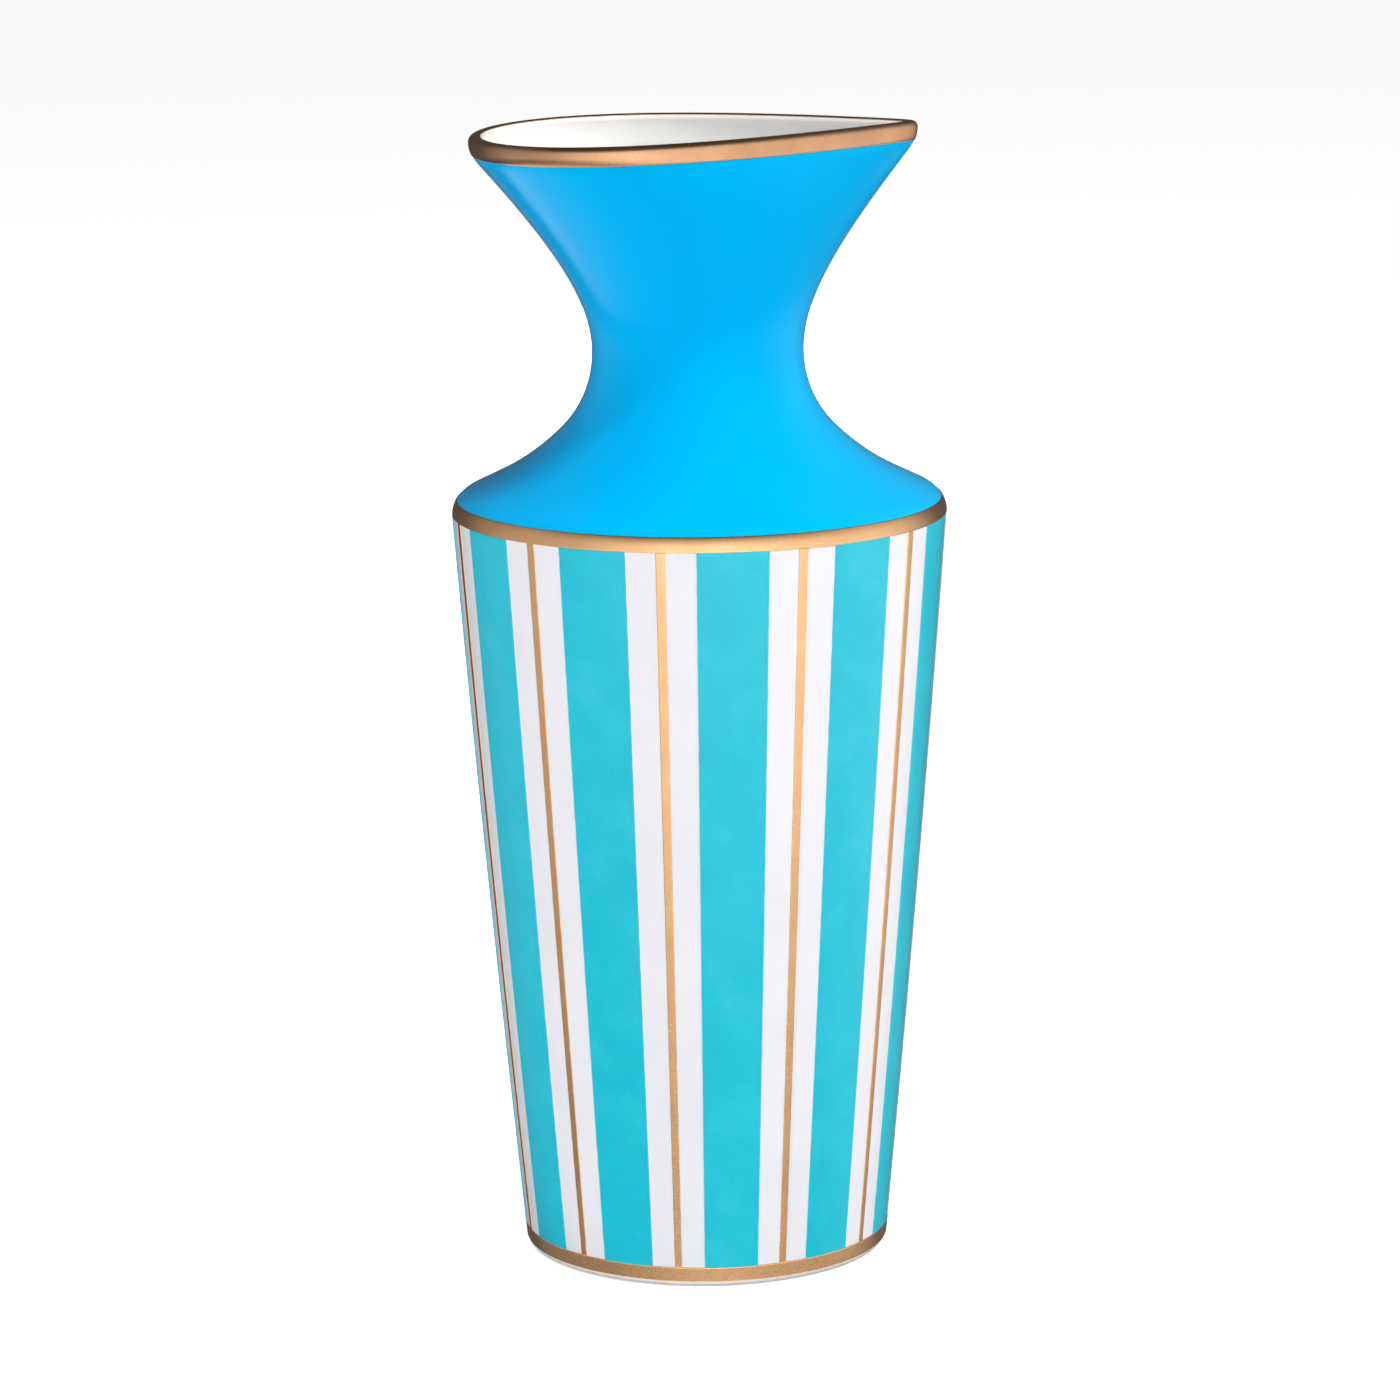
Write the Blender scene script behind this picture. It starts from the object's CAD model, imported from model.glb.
import math

import bpy
import numpy as np
from mathutils import Matrix, Vector


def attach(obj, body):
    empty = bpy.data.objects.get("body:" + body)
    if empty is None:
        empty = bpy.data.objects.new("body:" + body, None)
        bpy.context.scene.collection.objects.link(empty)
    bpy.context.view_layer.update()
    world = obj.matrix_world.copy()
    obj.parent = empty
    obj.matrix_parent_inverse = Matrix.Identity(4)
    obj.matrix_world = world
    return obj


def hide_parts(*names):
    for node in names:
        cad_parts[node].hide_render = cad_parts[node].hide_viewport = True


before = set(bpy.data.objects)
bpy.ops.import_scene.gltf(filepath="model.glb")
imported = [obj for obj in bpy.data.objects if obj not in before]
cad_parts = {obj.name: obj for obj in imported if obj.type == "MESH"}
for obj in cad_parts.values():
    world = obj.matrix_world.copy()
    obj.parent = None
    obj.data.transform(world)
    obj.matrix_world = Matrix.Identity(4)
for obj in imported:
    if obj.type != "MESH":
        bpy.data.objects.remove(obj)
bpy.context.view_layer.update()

# The vase's visible skins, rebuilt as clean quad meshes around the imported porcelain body.
# Everything is in metres in the frame of the CAD: +Z up, the mouth's point toward +X,
# the front toward -Y. Sizes that repeat the design's driving values keep its names.

MM = 0.001

# Body
BODY_HEIGHT = 154.8 * MM
BASE_RADIUS = 37.8 * MM
SHOULDER_RADIUS = 50.85 * MM
SIDE_BOW = 0.45 * MM
SHOULDER_CORNER = 5.2 * MM
SHOULDER_SLOPE = math.radians(26.0)
SHOULDER_FLAT = 6.2 * MM

# Neck and mouth
WAIST_RADIUS = 21.75 * MM
WAIST_HOLLOW = 22.6 * MM
WAIST_TURN = math.radians(45.0)
MOUTH_HEIGHT = 45.45 * MM
MOUTH_TILT = math.radians(1.27)
MOUTH_HALF_LENGTH = 45.6 * MM
MOUTH_HALF_WIDTH = 47.5 * MM
MOUTH_SHIFT = -0.55 * MM
POINT_PINCH = 1.2
POINT_ROUNDING = 0.31
FLARE_SLOPE = 0.965
LIP_CURL = 4.6 * MM

# Shell and coats
WALL = 2.3 * MM
FLOOR_THICKNESS = 5.5 * MM
FLOOR_CORNER = 8.0 * MM
LIP_FLAT = 0.5 * MM
GLAZE = 0.30 * MM
LAYER = 0.15 * MM
SEAT = 0.02 * MM             # how far a layer's hidden face sinks into the glaze under it

# Decoration
BARE_FOOT = 0.7 * MM
BASE_BAND = (1.1 * MM, 4.25 * MM)
SHOULDER_BAND = (155.1 * MM, 158.2 * MM)
RIM_BAND_HEIGHT = 3.75 * MM
RIM_BAND_INSIDE = 0.2 * MM
STRIPE_REPEATS = 11
TURQUOISE_WIDTH = math.radians(16.5)
PINSTRIPE_WIDTH = math.radians(2.2)
FIRST_PINSTRIPE = math.radians(-98.9)

# Mesh density
COLUMNS = 320
SIDE_ROWS = 90
EDGE_ROWS = 7
EDGE = 0.18 * MM             # width over which a layer's edge rounds down
HAND = 0.012 * MM            # how far a painted stripe wanders and swells

wall_total = WALL + 2 * GLAZE
lip_round = (wall_total - LIP_FLAT) / 2
lip_height = MOUTH_HEIGHT - lip_round
rim_tilt = math.tan(MOUTH_TILT)
angles = np.linspace(0, 2 * math.pi, COLUMNS, endpoint=False)


# ---- the vase's outline ----

def arc_points(start, heading, radius, sweep, steps):
    """Points and outward normals along an arc; sweep is positive to the left."""
    side = math.copysign(1, sweep)
    centre = start + side * radius * np.array([-math.sin(heading), math.cos(heading)])
    turned = heading + sweep * np.linspace(0, 1, steps + 1)
    normal = np.stack([np.sin(turned), -np.cos(turned)], axis=1)
    return centre + side * radius * normal, normal, turned[-1]


def body_outline():
    """Rows of radius, height and outward normal from the foot to the waist."""
    rise = SHOULDER_RADIUS - BASE_RADIUS
    chord = math.hypot(rise, BODY_HEIGHT)
    turn = 4 * math.atan(2 * SIDE_BOW / chord)
    heading = math.pi / 2 - math.atan2(rise, BODY_HEIGHT) - turn / 2
    side, side_n, heading = arc_points(np.array([BASE_RADIUS, 0.0]), heading,
                                       chord / 2 / math.sin(turn / 2), turn, SIDE_ROWS)
    slope = math.pi - SHOULDER_SLOPE
    corner, corner_n, _ = arc_points(side[-1], heading, SHOULDER_CORNER, slope - heading, 28)
    flat = SHOULDER_FLAT * np.array([math.cos(slope), math.sin(slope)])
    flats = corner[-1] + np.linspace(0, 1, 7)[:, None] * flat
    hollow_end = WAIST_RADIUS + WAIST_HOLLOW * (1 - math.cos(WAIST_TURN))
    waist_start = math.pi / 2 + WAIST_TURN
    hollow_radius = (flats[-1][0] - hollow_end) / (math.sin(waist_start) - math.sin(slope))
    hollow, hollow_n, _ = arc_points(flats[-1], slope, hollow_radius, waist_start - slope, 18)
    waist, waist_n, _ = arc_points(hollow[-1], waist_start, WAIST_HOLLOW, -WAIST_TURN, 26)
    points = np.concatenate([side, corner[1:], flats[1:], hollow[1:], waist[1:]])
    normals = np.concatenate([side_n, corner_n[1:], np.repeat(corner_n[-1:], 6, axis=0),
                              hollow_n[1:], waist_n[1:]])
    return points, normals


outline, outline_normals = body_outline()
waist_height = outline[-1][1]


def turned_row(height, offset):
    """Radius and height of the body's surface at a height, moved outward by offset."""
    base = np.array([np.interp(height, outline[:, 1], outline[:, 0]), height])
    normal = np.array([np.interp(height, outline[:, 1], outline_normals[:, k]) for k in (0, 1)])
    return base + offset * normal / np.linalg.norm(normal)


def turned_ring(radius, height, turn=angles):
    return np.stack([radius * np.cos(turn), radius * np.sin(turn),
                     np.full_like(turn, height)], axis=1)


def trumpet_curve(height):
    """Radius and slope of the trumpet's generating curve at a height over the waist."""
    rise = min(height, lip_height - LIP_CURL)
    radius = math.hypot(WAIST_RADIUS, FLARE_SLOPE * rise)
    slope = FLARE_SLOPE ** 2 * rise / radius
    curl = min(height, lip_height) - rise
    return radius + slope * (curl - curl ** 2 / (2 * LIP_CURL)), slope * (1 - curl / LIP_CURL)


def mouth_outline(turn, growth):
    """Teardrop outline; growth goes from 0 at the round waist to 1 at the rim."""
    half_length = WAIST_RADIUS + (MOUTH_HALF_LENGTH - WAIST_RADIUS) * growth
    half_width = WAIST_RADIUS + (MOUTH_HALF_WIDTH - WAIST_RADIUS) * growth
    pinch = np.hypot(np.sin(turn / 2), POINT_ROUNDING) / math.hypot(1, POINT_ROUNDING)
    return np.stack([MOUTH_SHIFT * growth + half_length * np.cos(turn),
                     half_width * np.sin(turn) * pinch ** (POINT_PINCH * growth)], axis=1)


def trumpet_ring(height, offset, level=None):
    """Ring of the trumpet at a height over the waist, offset square to its wall."""
    radius, slope = trumpet_curve(height)
    growth = (radius - WAIST_RADIUS) / (trumpet_curve(lip_height)[0] - WAIST_RADIUS)
    step = 0.001
    along = mouth_outline(angles + step, growth) - mouth_outline(angles - step, growth)
    normal = np.stack([along[:, 1], -along[:, 0]], axis=1)
    normal /= np.linalg.norm(normal, axis=1)[:, None]
    flat = mouth_outline(angles, growth) + normal * offset * math.hypot(1, slope)
    level = height if level is None else level
    tilt = rim_tilt * height / lip_height
    return np.column_stack([flat, waist_height + level + tilt * flat[:, 0]])


def lip_ring(side, growth, turn):
    """Ring on the rounded lip: side 1 outside or -1 inside, turn 0 upright to 90 at the crest."""
    centre = -wall_total / 2 + side * LIP_FLAT / 2
    reach = lip_round + growth
    return trumpet_ring(lip_height, centre + side * reach * math.cos(turn),
                        lip_height + reach * math.sin(turn))


def wall_ring(side, growth, height):
    """Ring on one face of the trumpet's wall, standing off the finished glaze by growth."""
    return trumpet_ring(height, growth if side > 0 else -wall_total - growth)


# ---- mesh helpers ----

def make_piece(name, verts, faces, material):
    mesh = bpy.data.meshes.new(name)
    mesh.from_pydata(verts, [], faces)
    mesh.validate()
    mesh.polygons.foreach_set("use_smooth", [True] * len(mesh.polygons))
    mesh.materials.append(material)
    piece = bpy.data.objects.new(name, mesh)
    bpy.context.scene.collection.objects.link(piece)
    return piece


def tube_faces(rows, columns, wrap_rows):
    """Quads of a grid that closes round its columns, and round its rows if asked."""
    faces = []
    for i in range(rows if wrap_rows else rows - 1):
        a, b = i * columns, (i + 1) % rows * columns
        for j in range(columns):
            k = (j + 1) % columns
            faces.append((a + j, a + k, b + k, b + j))
    return faces


def ring_piece(name, rings, material, capped=False):
    """Closed skin through a loop of rings; capped closes the first and last at the axis."""
    verts = [tuple(v) for ring in rings for v in ring]
    faces = tube_faces(len(rings), COLUMNS, wrap_rows=not capped)
    if capped:
        last = (len(rings) - 1) * COLUMNS
        for start, ring, flip in ((0, rings[0], True), (last, rings[-1], False)):
            pole = len(verts)
            verts.append(tuple(ring.mean(axis=0)))
            for j in range(COLUMNS):
                pair = (start + j, start + (j + 1) % COLUMNS)
                faces.append((*(pair[::-1] if flip else pair), pole))
    return make_piece(name, verts, faces, material)


near_edge = EDGE * (1 - np.cos(np.linspace(0, math.pi / 2, EDGE_ROWS)))


def edge_share(inset):
    """Share of a layer's full thickness at a distance in from its edge."""
    return np.sqrt(1 - (1 - inset / EDGE) ** 2)


def with_edges(low, high, rows):
    """Positions across a layer, close together at its edges, and thickness shares there."""
    middle = np.linspace(low + EDGE, high - EDGE, rows + 1)[1:-1]
    places = np.concatenate([low + near_edge, middle, (high - near_edge)[::-1]])
    return places, edge_share(np.minimum(places - low, high - places).clip(0, EDGE))


def turned_band(name, low, high, outer, inner, material, rows=24):
    """A coat round the body between two heights, with rounded edges."""
    heights, share = with_edges(low, high, rows)
    rings = [turned_ring(*turned_row(h, inner + (outer - inner) * s))
             for h, s in zip(heights, share)]
    rings += [turned_ring(*turned_row(h, inner)) for h in heights[-2:0:-1]]
    return ring_piece(name, rings, material)


def outer_rings(offset, low, top_height):
    """Rings on the outside from a height on the body up to a height over the waist."""
    start = [turned_ring(*turned_row(low, offset))]
    above = outline[:, 1] > low + 0.1 * MM
    rows = outline[above] + offset * outline_normals[above]
    rings = start + [turned_ring(r, z) for r, z in rows]
    heights = trumpet_heights(top_height)[1:]
    return rings + [wall_ring(1, offset, h) for h in heights]


def trumpet_heights(top):
    """Heights over the waist, closer together where the lip curls."""
    curl_start = lip_height - LIP_CURL
    flare = np.linspace(0, min(top, curl_start), 64)
    curl = np.linspace(curl_start, top, 14)[1:] if top > curl_start else []
    return np.concatenate([flare, curl])


def inner_rings(growth):
    """Rings on the inside from the floor's centre up to the foot of the lip's rounding."""
    offset = -wall_total - growth
    floor = FLOOR_THICKNESS + GLAZE + growth
    corner = FLOOR_CORNER - growth
    rows = outline + offset * outline_normals
    wall_radius = np.interp(floor + corner, rows[:, 1], rows[:, 0])
    flat = np.linspace(0.04, 1, 16)[:-1] * (wall_radius - corner)
    rings = [turned_ring(r, floor) for r in flat]
    for turn in np.linspace(0, math.pi / 2, 12):
        rings.append(turned_ring(wall_radius - corner * (1 - math.sin(turn)),
                                 floor + corner * (1 - math.cos(turn))))
    rings += [turned_ring(r, z) for r, z in rows if z > floor + corner + 0.5 * MM]
    return rings + [wall_ring(-1, growth, h) for h in trumpet_heights(lip_height)[1:]]


def over_lip(growth, outer_end):
    """Rings from the inner foot of the lip's rounding, over the crest, down the outside."""
    quarter = np.linspace(0, math.pi / 2, 12)
    rings = [lip_ring(-1, growth, a) for a in quarter[1:]]
    rings += [lip_ring(1, growth, a) for a in quarter[::-1]]
    down = np.linspace(lip_height, outer_end, 10)[1:]
    return rings + [wall_ring(1, growth, h) for h in down]


def stripe_piece(name, middle, width, low, high, material, phase):
    """A painted stripe that keeps its share of the circle, thin and round at its edges."""
    heights, end_share = with_edges(low, high, 170)
    rings = []
    for height, share in zip(heights, end_share):
        radius = turned_row(height, 0)[0]
        half = width / 2 * radius
        wander = HAND * (math.sin(1.26 / MM * height + phase)
                         + 0.6 * math.sin(1.3 / MM * height + 2.3 * phase))
        flutter = HAND * math.sin(0.9 / MM * height + 1.7 * phase)
        across, side_share = with_edges(-half, half, 14)
        lift = LAYER * share * side_share
        scale = 1 + flutter / half
        top = (across * scale + wander) / radius + middle
        loop = []
        for turn, up in zip(top, lift):
            r, z = turned_row(height, up - SEAT * (up == 0))
            loop.append((r * math.cos(turn), r * math.sin(turn), z))
        for turn in top[-2:0:-1]:
            r, z = turned_row(height, -SEAT)
            loop.append((r * math.cos(turn), r * math.sin(turn), z))
        rings.append(loop)
    count = len(rings[0])
    verts = [v for loop in rings for v in loop]
    faces = tube_faces(len(rings), count, wrap_rows=False)
    last = (len(rings) - 1) * count
    faces.append(tuple(range(count))[::-1])
    faces.append(tuple(range(last, last + count)))
    return make_piece(name, verts, faces, material)


# ---- materials ----

def new_material(name, **inputs):
    """Principled material with plain values set on the shader's own sockets."""
    material = bpy.data.materials.new(name)
    material.use_nodes = True
    tree = material.node_tree
    shader = tree.nodes["Principled BSDF"]
    for socket, value in inputs.items():
        shader.inputs[socket.replace("_", " ")].default_value = value
    return material, tree, shader


def noise(tree, scale, detail=3.0, roughness=0.5, stretch=(1, 1, 1), kind="ShaderNodeTexNoise"):
    """Noise in object space; scale counts features per metre."""
    coordinates = tree.nodes.new("ShaderNodeTexCoord")
    mapping = tree.nodes.new("ShaderNodeMapping")
    mapping.inputs["Scale"].default_value = stretch
    texture = tree.nodes.new(kind)
    texture.inputs["Scale"].default_value = scale
    texture.inputs["Detail"].default_value = detail
    texture.inputs["Roughness"].default_value = roughness
    tree.links.new(coordinates.outputs["Object"], mapping.inputs["Vector"])
    tree.links.new(mapping.outputs["Vector"], texture.inputs["Vector"])
    return texture.outputs[0]


def ramp(tree, value, stops):
    node = tree.nodes.new("ShaderNodeValToRGB")
    elements = node.color_ramp.elements
    while len(elements) < len(stops):
        elements.new(0.5)
    for element, (place, colour) in zip(elements, stops):
        element.position = place
        element.color = (*colour, 1) if len(colour) == 3 else colour
    tree.links.new(value, node.inputs["Fac"])
    return node.outputs["Color"]


def mix_colour(tree, factor, a, b, blend="MIX"):
    node = tree.nodes.new("ShaderNodeMix")
    node.data_type = "RGBA"
    node.blend_type = blend
    for socket, value in ((0, factor), (6, a), (7, b)):
        if isinstance(value, bpy.types.NodeSocket):
            tree.links.new(value, node.inputs[socket])
        else:
            node.inputs[socket].default_value = value
    return node.outputs[2]


def bump(tree, shader, height, strength, distance):
    node = tree.nodes.new("ShaderNodeBump")
    node.inputs["Strength"].default_value = strength
    node.inputs["Distance"].default_value = distance
    tree.links.new(height, node.inputs["Height"])
    tree.links.new(node.outputs["Normal"], shader.inputs["Normal"])


def grey(value):
    return (value, value, value)


def white_glaze():
    material, tree, shader = new_material("white_glaze", IOR=1.5, Roughness=0.1)
    cloud = noise(tree, 60, 3)
    colour = ramp(tree, cloud, [(0.3, (0.86, 0.855, 0.905)), (0.7, (0.895, 0.89, 0.935))])
    tree.links.new(colour, shader.inputs["Base Color"])
    tree.links.new(ramp(tree, noise(tree, 900, 2), [(0.3, grey(0.07)), (0.7, grey(0.13))]),
                   shader.inputs["Roughness"])
    bump(tree, shader, noise(tree, 260, 2), 0.12, 0.0002)
    return material


def lining_glaze():
    material, tree, shader = new_material("lining_glaze", IOR=1.5, Roughness=0.08)
    cloud = noise(tree, 50, 3)
    colour = ramp(tree, cloud, [(0.3, (0.90, 0.897, 0.88)), (0.7, (0.93, 0.927, 0.91))])
    tree.links.new(colour, shader.inputs["Base Color"])
    tree.links.new(ramp(tree, noise(tree, 700, 2), [(0.3, grey(0.05)), (0.7, grey(0.10))]),
                   shader.inputs["Roughness"])
    bump(tree, shader, noise(tree, 200, 2), 0.15, 0.0003)
    return material


def blue_glaze_material():
    material, tree, shader = new_material("blue_glaze", IOR=1.5, Roughness=0.08)
    shader.inputs["Specular Tint"].default_value = (0.0, 0.5, 0.9, 1)
    shader.inputs["Specular IOR Level"].default_value = 0.22
    cloud = noise(tree, 34, 4, 0.55)
    colour = ramp(tree, cloud, [(0.25, (0.0, 0.445, 0.86)), (0.5, (0.0, 0.46, 0.88)),
                                (0.8, (0.0, 0.475, 0.90))])
    tree.links.new(colour, shader.inputs["Base Color"])
    tree.links.new(ramp(tree, noise(tree, 800, 2), [(0.3, grey(0.06)), (0.7, grey(0.12))]),
                   shader.inputs["Roughness"])
    bump(tree, shader, noise(tree, 230, 2), 0.12, 0.0002)
    return material


def turquoise_enamel():
    material, tree, shader = new_material("turquoise_enamel", IOR=1.5, Roughness=0.14)
    cloud = ramp(tree, noise(tree, 85, 6, 0.62),
                 [(0.3, (0.0, 0.53, 0.69)), (0.5, (0.002, 0.56, 0.715)),
                  (0.72, (0.016, 0.59, 0.74))])
    speck = ramp(tree, noise(tree, 900, 3, 0.6), [(0.60, grey(0.0)), (0.74, grey(0.35))])
    colour = mix_colour(tree, speck, cloud, (0.0, 0.40, 0.54, 1))
    tree.links.new(colour, shader.inputs["Base Color"])
    tree.links.new(ramp(tree, noise(tree, 1100, 2), [(0.3, grey(0.10)), (0.7, grey(0.20))]),
                   shader.inputs["Roughness"])
    bump(tree, shader, noise(tree, 700, 3), 0.10, 0.0001)
    return material


def gold_lustre(name, light, dark):
    material, tree, shader = new_material(name, Metallic=1.0, Roughness=0.3)
    cloud = ramp(tree, noise(tree, 120, 3, 0.5), [(0.3, dark), (0.7, light)])
    grain = ramp(tree, noise(tree, 4200, 2, 0.7), [(0.50, grey(0.0)), (0.72, grey(0.35))])
    colour = mix_colour(tree, grain, cloud, (*[c * 0.7 for c in dark], 1))
    tree.links.new(colour, shader.inputs["Base Color"])
    tree.links.new(ramp(tree, noise(tree, 2600, 3, 0.7), [(0.3, grey(0.16)), (0.75, grey(0.30))]),
                   shader.inputs["Roughness"])
    bump(tree, shader, noise(tree, 3000, 2, 0.6), 0.18, 0.00003)
    return material


def bare_clay():
    material, tree, shader = new_material("bare_clay", IOR=1.45, Roughness=0.6)
    colour = ramp(tree, noise(tree, 300, 5, 0.6),
                  [(0.3, (0.76, 0.74, 0.71)), (0.7, (0.84, 0.83, 0.80))])
    tree.links.new(colour, shader.inputs["Base Color"])
    tree.links.new(ramp(tree, noise(tree, 2000, 3), [(0.3, grey(0.5)), (0.7, grey(0.7))]),
                   shader.inputs["Roughness"])
    bump(tree, shader, noise(tree, 2400, 4, 0.6), 0.4, 0.00006)
    return material


white = white_glaze()
lining = lining_glaze()
blue = blue_glaze_material()
turquoise = turquoise_enamel()
gold = gold_lustre("gold_lustre", (1.0, 0.59, 0.30), (0.92, 0.52, 0.25))
rim_gold = gold_lustre("rim_gold_lustre", (0.72, 0.40, 0.225), (0.60, 0.32, 0.17))
clay = bare_clay()

for node, material in (("porcelain_body", clay), ("underside_glaze", white)):
    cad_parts[node].data.materials.clear()
    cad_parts[node].data.materials.append(material)
    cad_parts[node].data.polygons.foreach_set(
        "use_smooth", [True] * len(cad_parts[node].data.polygons))


# ---- the skins ----

def place(piece, node, slot):
    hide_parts(node)
    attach(piece, "root")
    return piece


glaze_seam = (SHOULDER_BAND[0] + SHOULDER_BAND[1]) / 2
rim_seam = MOUTH_HEIGHT - RIM_BAND_HEIGHT / 2
rim_low = MOUTH_HEIGHT - RIM_BAND_HEIGHT

place(turned_band("white_ground", BARE_FOOT, glaze_seam, 0, -GLAZE, white, rows=150),
      "white_ground_glaze", "white_glaze")

blue_outer = outer_rings(0, glaze_seam, rim_seam)
blue_inner = outer_rings(-GLAZE, glaze_seam, rim_seam)
place(ring_piece("blue_neck", blue_outer + blue_inner[::-1], blue),
      "blue_glaze", "blue_glaze")

lining_face = inner_rings(0) + over_lip(0, rim_seam)
lining_back = inner_rings(-GLAZE) + over_lip(-GLAZE, rim_seam)
place(ring_piece("white_lining", lining_face + lining_back[::-1], lining, capped=True),
      "interior_glaze", "white_glaze")


def rim_band():
    """Gold over the lip; its two edges round down onto the glaze."""
    share = edge_share(near_edge)
    rings = [wall_ring(1, LAYER * s, rim_low + d) for d, s in zip(near_edge, share)]
    rings += [wall_ring(1, LAYER, h) for h in np.linspace(rim_low + EDGE, lip_height, 12)[1:]]
    quarter = np.linspace(0, math.pi / 2, 14)
    rings += [lip_ring(1, LAYER, a) for a in quarter[1:]]
    inside_end = math.acos(1 - RIM_BAND_INSIDE / lip_round)
    turns = math.pi / 2 - (inside_end - near_edge[::-1] / lip_round)
    rings.append(lip_ring(-1, LAYER, math.pi / 2))
    rings += [lip_ring(-1, LAYER * s, a) for s, a in zip(share[::-1], turns)]
    under = [lip_ring(-1, -SEAT, a) for a in np.linspace(turns[-1], math.pi / 2, 4)]
    under += [lip_ring(1, -SEAT, a) for a in quarter[::-1][:-1]]
    under += [wall_ring(1, -SEAT, h) for h in np.linspace(lip_height, rim_low, 12)[:-1]]
    return ring_piece("rim_gilding", rings + under, rim_gold)


place(rim_band(), "gold_rim_band", "rim_gold")
place(turned_band("shoulder_gilding", *SHOULDER_BAND, LAYER, -SEAT, gold),
      "gold_shoulder_band", "gold")
place(turned_band("base_gilding", *BASE_BAND, LAYER, -SEAT, gold),
      "gold_base_band", "gold")

pitch = 2 * math.pi / STRIPE_REPEATS
overlap = EDGE / 2
stripe_span = (BASE_BAND[1] - overlap, SHOULDER_BAND[0] + overlap)
for i in range(STRIPE_REPEATS):
    number = f"{i + 1:02d}"
    middle = FIRST_PINSTRIPE + i * pitch
    place(stripe_piece("gilt_line_" + number, middle, PINSTRIPE_WIDTH, *stripe_span, gold, i),
          "gold_pinstripe_" + number, "gold")
    place(stripe_piece("enamel_stripe_" + number, middle + pitch / 2, TURQUOISE_WIDTH,
                       *stripe_span, turquoise, i + 0.5),
          "turquoise_stripe_" + number, "turquoise_enamel")


# ---- studio ----

FLOOR_GLOW = 0.80            # seen by the camera only, so that the sweep stays white
FLOOR_GREY = 0.70
FLOOR_HALF = 6.0
SKY_FILL = 0.19              # light on the vase
SKY_SEEN = 1.05              # what the camera sees behind it
CONTACT = (0.0366, 0.0380)   # radii between which the sweep's glow starts round the foot
AIM = Vector((0, 0, 0.14))   # every soft box points at the middle of the vase

# Soft boxes: azimuth from the front toward +X, elevation, distance, size, watts, colour
SOFT_BOXES = {
    "key": (70, 52, 1.4, 0.35, 15.5, (1, 0.985, 0.965)),
    "left_front": (-50, 2, 1.3, 0.35, 7.6, (0.985, 0.99, 1)),
    "right_front": (35, 4, 1.3, 0.8, 4.8, (1, 1, 1)),
    "behind": (180, 6, 1.5, 0.9, 11.0, (1, 1, 1)),
    "overhead": (0, 90, 1.4, 0.4, 4.0, (1, 1, 1)),
}

# What polished surfaces reflect, as brightness along each axis of the reflected direction
REFLECTED = {
    "X": [(-1.0, 0.40), (-0.6, 0.70), (-0.25, 1.0), (0.2, 1.12), (1.0, 0.78)],
    "Y": [(-1.0, 1.2), (0.1, 1.1), (0.4, 0.7), (0.75, 0.15), (1.0, 0.06)],
    "Z": [(-0.6, 0.35), (-0.43, 0.34), (-0.30, 1.4), (-0.15, 1.2), (0.3, 1.05),
          (0.6, 0.6), (0.85, 0.10), (1.0, 0.08)],
}
REFLECTED_FLOOR = 1.1
FLOOR_FADE = (0.47, 0.62)    # how far below the horizon the floor starts to show

# Camera
LENS = 138.7
SENSOR = 36
CAMERA_PLACE = (-0.0003, -1.0979, 0.34037)
CAMERA_DIP = math.radians(11.59)
CAMERA_ROLL = math.radians(-0.6)


def soft_box(name, azimuth, elevation, distance, size, power, colour):
    """Square light that brightens the vase but is not itself reflected."""
    data = bpy.data.lights.new(name, "AREA")
    data.shape = "RECTANGLE"
    data.size = data.size_y = size
    data.energy = power
    data.color = colour
    light = bpy.data.objects.new(name, data)
    turn, rise = math.radians(azimuth), math.radians(elevation)
    toward = Vector((math.sin(turn) * math.cos(rise), -math.cos(turn) * math.cos(rise),
                     math.sin(rise)))
    light.location = AIM + toward * distance
    light.rotation_euler = toward.to_track_quat("Z", "Y").to_euler()
    light.visible_glossy = False
    light.visible_camera = False
    bpy.context.scene.collection.objects.link(light)


def math_node(tree, operation, a, b):
    node = tree.nodes.new("ShaderNodeMath")
    node.operation = operation
    for socket, value in zip(node.inputs, (a, b)):
        if isinstance(value, bpy.types.NodeSocket):
            tree.links.new(value, socket)
        else:
            socket.default_value = value
    return node.outputs[0]


def remap(tree, value, low, high):
    """0 below low, 1 above high, smooth between."""
    node = tree.nodes.new("ShaderNodeMapRange")
    node.interpolation_type = "SMOOTHSTEP"
    node.inputs["From Min"].default_value = low
    node.inputs["From Max"].default_value = high
    tree.links.new(value, node.inputs["Value"])
    return node.outputs[0]


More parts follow.
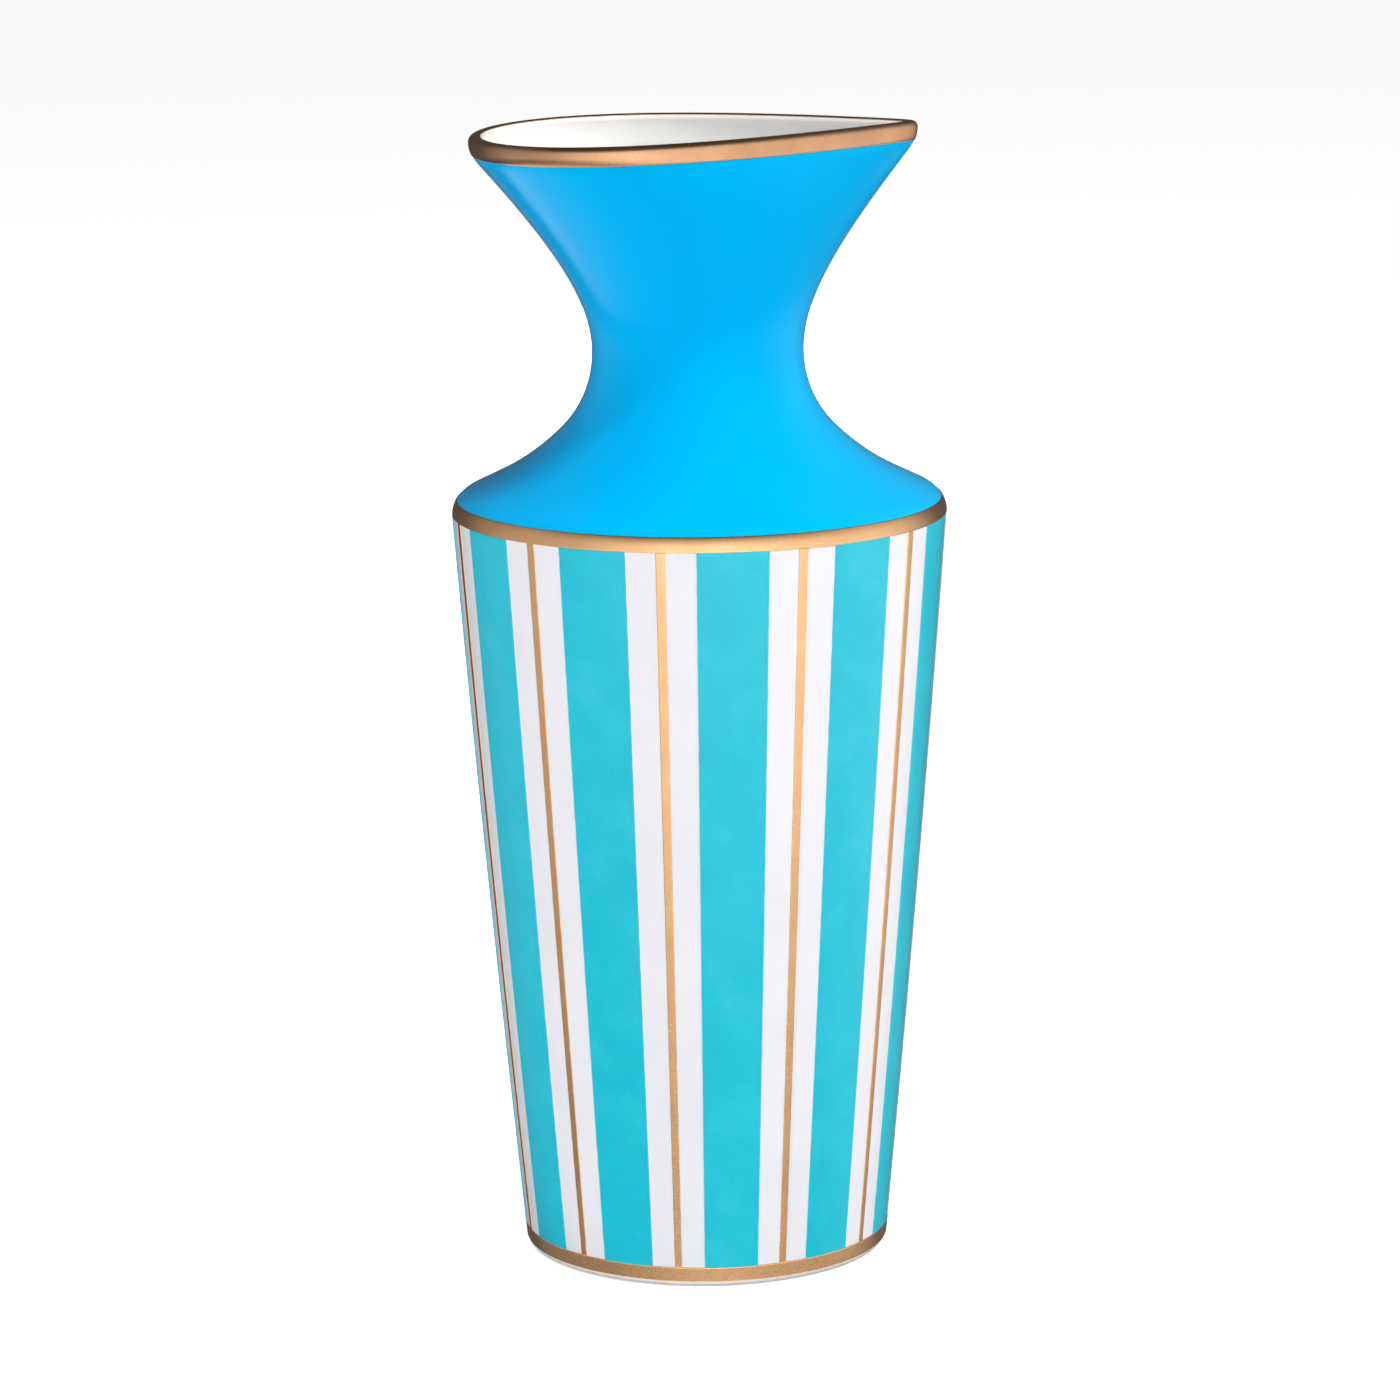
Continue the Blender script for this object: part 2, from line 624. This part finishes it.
def make_floor():
    """White sweep under and behind the vase."""
    material, tree, shader = new_material("studio_floor", Roughness=0.9)
    shader.inputs["Base Color"].default_value = (*grey(FLOOR_GREY), 1)
    shader.inputs["Specular IOR Level"].default_value = 0.0
    shader.inputs["Emission Color"].default_value = (1, 1, 1, 1)
    length = tree.nodes.new("ShaderNodeVectorMath")
    length.operation = "LENGTH"
    coordinates = tree.nodes.new("ShaderNodeTexCoord")
    tree.links.new(coordinates.outputs["Object"], length.inputs[0])
    around = remap(tree, length.outputs["Value"], *CONTACT)
    seen = tree.nodes.new("ShaderNodeLightPath").outputs["Is Camera Ray"]
    glow = math_node(tree, "MULTIPLY", math_node(tree, "MULTIPLY", around, seen), FLOOR_GLOW)
    tree.links.new(glow, shader.inputs["Emission Strength"])
    mesh = bpy.data.meshes.new("studio_floor")
    corners = [(x * FLOOR_HALF, y * FLOOR_HALF, 0) for x, y in ((-1, -1), (1, -1), (1, 1), (-1, 1))]
    mesh.from_pydata(corners, [], [(0, 1, 2, 3)])
    mesh.materials.append(material)
    floor = bpy.data.objects.new("studio_floor", mesh)
    floor.visible_glossy = False
    bpy.context.scene.collection.objects.link(floor)


def to_share(tree, value):
    """-1..1 to 0..1"""
    return math_node(tree, "ADD", math_node(tree, "MULTIPLY", value, 0.5), 0.5)


def reflected_studio(tree):
    """Brightness of the studio in reflections, separate from the lights that shine on it."""
    coordinates = tree.nodes.new("ShaderNodeTexCoord")
    axes = tree.nodes.new("ShaderNodeSeparateXYZ")
    tree.links.new(coordinates.outputs["Generated"], axes.inputs[0])
    front = 1.0
    for axis, stops in REFLECTED.items():
        spread = [((v + 1) / 2, grey(level)) for v, level in stops]
        level = ramp(tree, to_share(tree, axes.outputs[axis]), spread)
        front = math_node(tree, "MULTIPLY", front, level)
    below = remap(tree, math_node(tree, "MULTIPLY", axes.outputs["Z"], -1.0), *FLOOR_FADE)
    return math_node(tree, "MAXIMUM", front, math_node(tree, "MULTIPLY", below, REFLECTED_FLOOR))


def make_world():
    """White behind the object, with its own strengths for soft light and for reflections."""
    world = bpy.data.worlds.new("studio")
    world.use_nodes = True
    tree = world.node_tree
    path = tree.nodes.new("ShaderNodeLightPath")
    surface = tree.nodes["Background"]
    surface.inputs["Color"].default_value = (0.97, 0.98, 1.0, 1)
    surface.inputs["Strength"].default_value = SKY_FILL
    output = surface.outputs["Background"]
    for ray, strength in (("Is Glossy Ray", reflected_studio(tree)), ("Is Camera Ray", SKY_SEEN)):
        layer = tree.nodes.new("ShaderNodeBackground")
        layer.inputs["Color"].default_value = (1, 1, 1, 1)
        if isinstance(strength, bpy.types.NodeSocket):
            tree.links.new(strength, layer.inputs["Strength"])
        else:
            layer.inputs["Strength"].default_value = strength
        mixer = tree.nodes.new("ShaderNodeMixShader")
        tree.links.new(path.outputs[ray], mixer.inputs["Fac"])
        tree.links.new(output, mixer.inputs[1])
        tree.links.new(layer.outputs["Background"], mixer.inputs[2])
        output = mixer.outputs["Shader"]
    tree.links.new(output, tree.nodes["World Output"].inputs["Surface"])
    bpy.context.scene.world = world


def make_camera():
    data = bpy.data.cameras.new("camera")
    data.sensor_width = SENSOR
    data.lens = LENS
    data.clip_start = 0.05
    camera = bpy.data.objects.new("camera", data)
    camera.matrix_world = (Matrix.Translation(CAMERA_PLACE)
                           @ Matrix.Rotation(math.pi / 2 - CAMERA_DIP, 4, "X")
                           @ Matrix.Rotation(CAMERA_ROLL, 4, "Z"))
    bpy.context.scene.collection.objects.link(camera)
    bpy.context.scene.camera = camera


make_camera()
make_world()
make_floor()
for box_name, settings in SOFT_BOXES.items():
    soft_box(box_name, *settings)
bpy.context.scene.view_settings.view_transform = "Standard"
